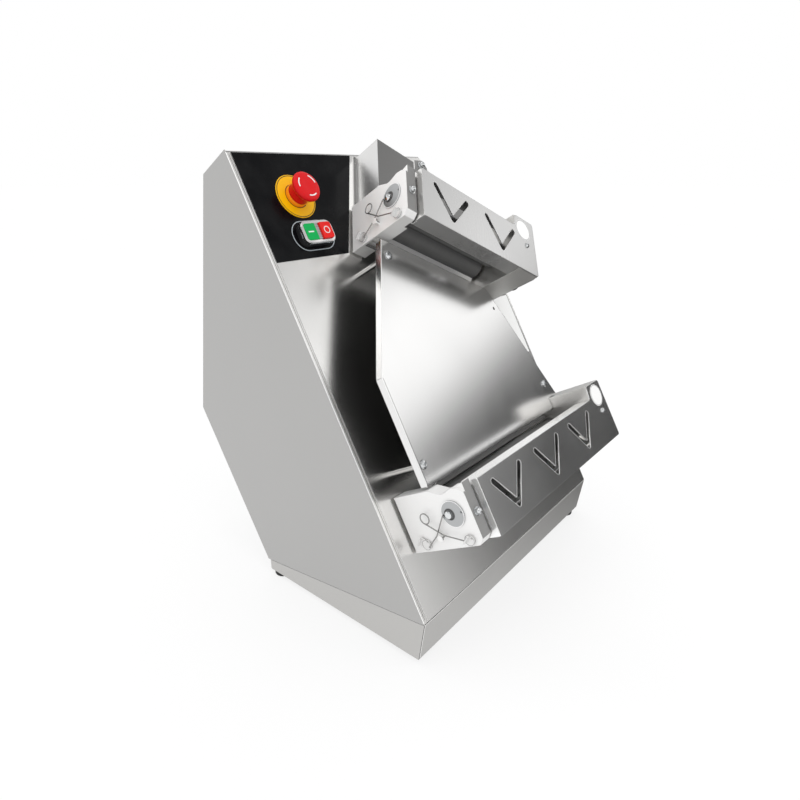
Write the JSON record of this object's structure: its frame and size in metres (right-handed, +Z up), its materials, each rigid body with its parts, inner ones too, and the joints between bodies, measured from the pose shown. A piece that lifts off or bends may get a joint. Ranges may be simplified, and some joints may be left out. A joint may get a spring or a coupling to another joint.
{
  "type": "pizza dough roller",
  "caption": "Two-stage dough roller: leaning steel cabinet, skewed upper and level lower roller units behind slotted guards, dough chute, emergency stop and start/stop switch.",
  "frame": {"origin": "on the floor, under the middle of the whole machine's box", "axes": "+Z up, -Y towards the operator in front, +X to the operator's right; the front panel leans back by 30 degrees"},
  "size_m": [0.472, 0.5013, 0.6246],
  "materials": {
    "brushed_sheet": "fine brushed stainless sheet",
    "bright_sheet": "bright stainless sheet",
    "dark_sheet": "brushed stainless sheet in shade",
    "zinc": "bright zinc",
    "turned_steel": "turned steel",
    "roller_plastic": "turned food plastic",
    "gear_plastic": "moulded",
    "bush_bronze": "turned",
    "black_film": "glossy film",
    "yellow_plastic": "semi gloss",
    "orange_plastic": "semi gloss",
    "red_plastic": "semi gloss",
    "dark_red_plastic": "semi gloss",
    "green_plastic": "semi gloss",
    "lens_plastic": "ribbed",
    "black_plastic": "moulded",
    "bezel_chrome": "polished",
    "rubber_black": "matte",
    "motor_paint": "satin paint",
    "grey_plastic": "moulded"
  },
  "bodies": {
    "cabinet": {"left_side_panel": "brushed_sheet", "right_side_panel": "brushed_sheet", "front_panel": "bright_sheet", "top_cover": "brushed_sheet", "rear_cover": "brushed_sheet", "base_pan": "brushed_sheet", "feet": "rubber_black", "control_overlay": "black_film", "estop_ring": "yellow_plastic", "estop_collar": "orange_plastic", "estop_block": "black_plastic", "switch_body": "black_plastic", "switch_bezel": "bezel_chrome", "indicator_lens": "lens_plastic", "switch_block": "black_plastic", "feed_plate": "dark_sheet", "chute_plate": "bright_sheet", "chute_standoffs": "turned_steel", "screws": "zinc", "upper_left_housing": "bright_sheet", "lower_left_housing": "bright_sheet", "upper_right_housing": "brushed_sheet", "lower_right_housing": "brushed_sheet", "upper_guard": "dark_sheet", "lower_guard": "dark_sheet", "gear_covers": "brushed_sheet", "shaft_bushes": "bush_bronze", "control_box": "grey_plastic", "cable_gland": "black_plastic", "gearmotors": "motor_paint", "upper_rear_spring": "turned_steel", "upper_front_spring": "turned_steel", "lower_rear_spring": "turned_steel", "lower_front_spring": "turned_steel"},
    "upper_drive": {"upper_drive_gear": "turned_steel"},
    "upper_rear_roll": {"upper_rear_shaft": "turned_steel", "upper_rear_roller": "roller_plastic", "upper_rear_gear": "gear_plastic"},
    "upper_gap": {"upper_gap_axle": "turned_steel", "upper_gap_lever": "black_plastic"},
    "upper_carrier": {"upper_front_bushes": "bush_bronze"},
    "upper_front_roll": {"upper_front_roller": "roller_plastic", "upper_front_gear": "gear_plastic"},
    "upper_back_scraper": {"upper_rear_scraper": "turned_steel"},
    "upper_fore_scraper": {"upper_front_scraper": "turned_steel"},
    "lower_drive": {"lower_drive_gear": "turned_steel"},
    "lower_rear_roll": {"lower_rear_shaft": "turned_steel", "lower_rear_roller": "roller_plastic", "lower_rear_gear": "gear_plastic"},
    "lower_gap": {"lower_gap_axle": "turned_steel", "lower_gap_lever": "black_plastic"},
    "lower_carrier": {"lower_front_bushes": "bush_bronze"},
    "lower_front_roll": {"lower_front_roller": "roller_plastic", "lower_front_gear": "gear_plastic"},
    "lower_back_scraper": {"lower_rear_scraper": "turned_steel"},
    "lower_fore_scraper": {"lower_front_scraper": "turned_steel"},
    "stop_plunger": {"estop_plunger": "dark_red_plastic"},
    "stop_head": {"estop_head": "red_plastic"},
    "start_key": {"start_button": "green_plastic"},
    "stop_key": {"stop_button": "red_plastic"}
  },
  "joints": [
    {"name": "upper_drive_spin", "type": "hinge", "parent": "cabinet", "child": "upper_drive", "pos_m": [0.12127, 0.0366, 0.40397], "axis": [0.8813, -0.2363, -0.4092], "continuous": true},
    {"name": "upper_rear_spin", "type": "hinge", "parent": "cabinet", "child": "upper_rear_roll", "pos_m": [0.04063, 0.00496, 0.47217], "axis": [0.8813, -0.2363, -0.4092], "continuous": true},
    {"name": "upper_gap_turn", "type": "hinge", "parent": "cabinet", "child": "upper_gap", "pos_m": [0.04063, -0.03574, 0.49567], "axis": [0.8813, -0.2363, -0.4092], "range_deg": [0, 60], "deforming": ["upper_rear_spring"]},
    {"name": "upper_carrier_turn", "type": "hinge", "parent": "upper_gap", "child": "upper_carrier", "pos_m": [0.04063, -0.03055, 0.49267], "axis": [0.8813, -0.2363, -0.4092], "range_deg": [-77, 1]},
    {"name": "upper_front_spin", "type": "hinge", "parent": "upper_carrier", "child": "upper_front_roll", "pos_m": [0.04063, -0.03055, 0.49267], "axis": [0.8813, -0.2363, -0.4092], "continuous": true},
    {"name": "upper_rear_scraper_swing", "type": "hinge", "parent": "cabinet", "child": "upper_back_scraper", "pos_m": [0.02551, 0.00272, 0.4409], "axis": [0.8813, -0.2363, -0.4092], "range_deg": [0, 12], "stiffness_Nm_per_rad": 0.4, "deforming": ["upper_rear_spring"]},
    {"name": "upper_front_scraper_swing", "type": "hinge", "parent": "cabinet", "child": "upper_fore_scraper", "pos_m": [0.02556, -0.05664, 0.47527], "axis": [0.8813, -0.2363, -0.4092], "range_deg": [-12, 0], "stiffness_Nm_per_rad": 0.4, "deforming": ["upper_front_spring"]},
    {"name": "lower_drive_spin", "type": "hinge", "parent": "cabinet", "child": "lower_drive", "pos_m": [0.1465, -0.10336, 0.16155], "axis": [1, 0, 0], "continuous": true},
    {"name": "lower_rear_spin", "type": "hinge", "parent": "cabinet", "child": "lower_rear_roll", "pos_m": [-0.006, -0.15662, 0.1923], "axis": [1, 0, 0], "continuous": true},
    {"name": "lower_gap_turn", "type": "hinge", "parent": "cabinet", "child": "lower_gap", "pos_m": [-0.006, -0.19733, 0.2158], "axis": [1, 0, 0], "range_deg": [0, 60], "deforming": ["lower_rear_spring"]},
    {"name": "lower_carrier_turn", "type": "hinge", "parent": "lower_gap", "child": "lower_carrier", "pos_m": [-0.006, -0.19213, 0.2128], "axis": [1, 0, 0], "range_deg": [-77, 1]},
    {"name": "lower_front_spin", "type": "hinge", "parent": "lower_carrier", "child": "lower_front_roll", "pos_m": [-0.006, -0.19213, 0.2128], "axis": [1, 0, 0], "continuous": true},
    {"name": "lower_rear_scraper_swing", "type": "hinge", "parent": "cabinet", "child": "lower_back_scraper", "pos_m": [-0.006, -0.16076, 0.15774], "axis": [1, 0, 0], "range_deg": [0, 12], "stiffness_Nm_per_rad": 0.4, "deforming": ["lower_rear_spring"]},
    {"name": "lower_front_scraper_swing", "type": "hinge", "parent": "cabinet", "child": "lower_fore_scraper", "pos_m": [-0.006, -0.22012, 0.19212], "axis": [1, 0, 0], "range_deg": [-12, 0], "stiffness_Nm_per_rad": 0.4, "deforming": ["lower_front_spring"]},
    {"name": "estop_press", "type": "slide", "parent": "cabinet", "child": "stop_plunger", "axis": [0, 0.866, -0.5], "range_m": [0, 0.0032]},
    {"name": "estop_twist", "type": "hinge", "parent": "stop_plunger", "child": "stop_head", "pos_m": [-0.157, 0.07963, 0.5605], "axis": [0, -0.866, 0.5], "range_deg": [-40, 0], "stiffness_Nm_per_rad": 0.05},
    {"name": "start_press", "type": "slide", "parent": "cabinet", "child": "start_key", "axis": [0, 0.866, -0.5], "range_m": [0, 0.0025], "stiffness_N_per_m": 900},
    {"name": "stop_press", "type": "slide", "parent": "cabinet", "child": "stop_key", "axis": [0, 0.866, -0.5], "range_m": [0, 0.0025], "stiffness_N_per_m": 900}
  ],
  "couplings": [
    {"joint": "upper_rear_spin", "follows": "upper_drive_spin", "ratio": -2},
    {"joint": "upper_front_spin", "follows": "upper_drive_spin", "ratio": 2},
    {"joint": "upper_carrier_turn", "follows": "upper_gap_turn", "ratio": -1.25},
    {"joint": "lower_rear_spin", "follows": "lower_drive_spin", "ratio": -2},
    {"joint": "lower_front_spin", "follows": "lower_drive_spin", "ratio": 2},
    {"joint": "lower_carrier_turn", "follows": "lower_gap_turn", "ratio": -1.25}
  ]
}
